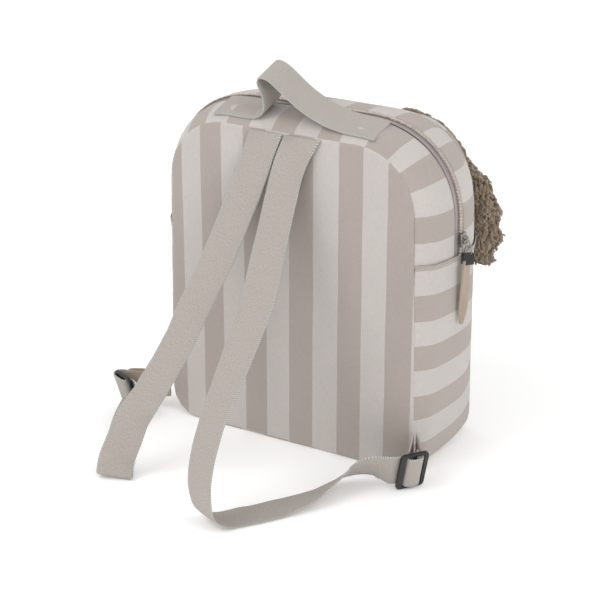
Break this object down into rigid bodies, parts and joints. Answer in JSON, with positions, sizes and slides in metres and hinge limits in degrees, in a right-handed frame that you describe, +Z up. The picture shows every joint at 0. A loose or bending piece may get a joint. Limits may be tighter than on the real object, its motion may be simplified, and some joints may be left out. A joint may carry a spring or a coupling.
{
  "type": "kids animal backpack",
  "caption": "Child's striped cloth backpack with brown fleece ears, webbing shoulder straps in adjusters, carry handle and a zip with a cloth puller, standing upright.",
  "frame": {"origin": "centre of the flat base, on the table", "axes": "+Z up; -Y out of the back panel, towards the wearer and the shoulder straps; +X to the wearer's left"},
  "size_m": [0.3491, 0.3266, 0.3533],
  "materials": {
    "striped_cloth": "matte woven, beige and off-white stripes",
    "zip_tape": "matte ribbed tape",
    "zip_coil": "satin coil",
    "runner_metal": "satin metal",
    "black_plastic": "moulded, slightly glossy",
    "tan_cloth": "matte woven",
    "webbing": "matte melange webbing",
    "fleece": "curly deep pile"
  },
  "bodies": {
    "root": {"back_panel": "striped_cloth", "front_panel": "striped_cloth", "gusset_lower": "striped_cloth", "gusset_upper_back": "striped_cloth", "gusset_upper_front": "striped_cloth", "zip_tape": "zip_tape", "zip_coil": "zip_coil", "zip_runner": "runner_metal", "pull_ring": "runner_metal", "pull_link": "runner_metal", "pull_clamp": "black_plastic", "pull_tab": "tan_cloth", "handle": "webbing", "strap_left": "webbing", "strap_right": "webbing", "adjuster_left": "black_plastic", "adjuster_right": "black_plastic", "corner_wing_left": "tan_cloth", "corner_wing_right": "striped_cloth", "ear_left": "fleece", "ear_right": "fleece"}
  },
  "joints": []
}
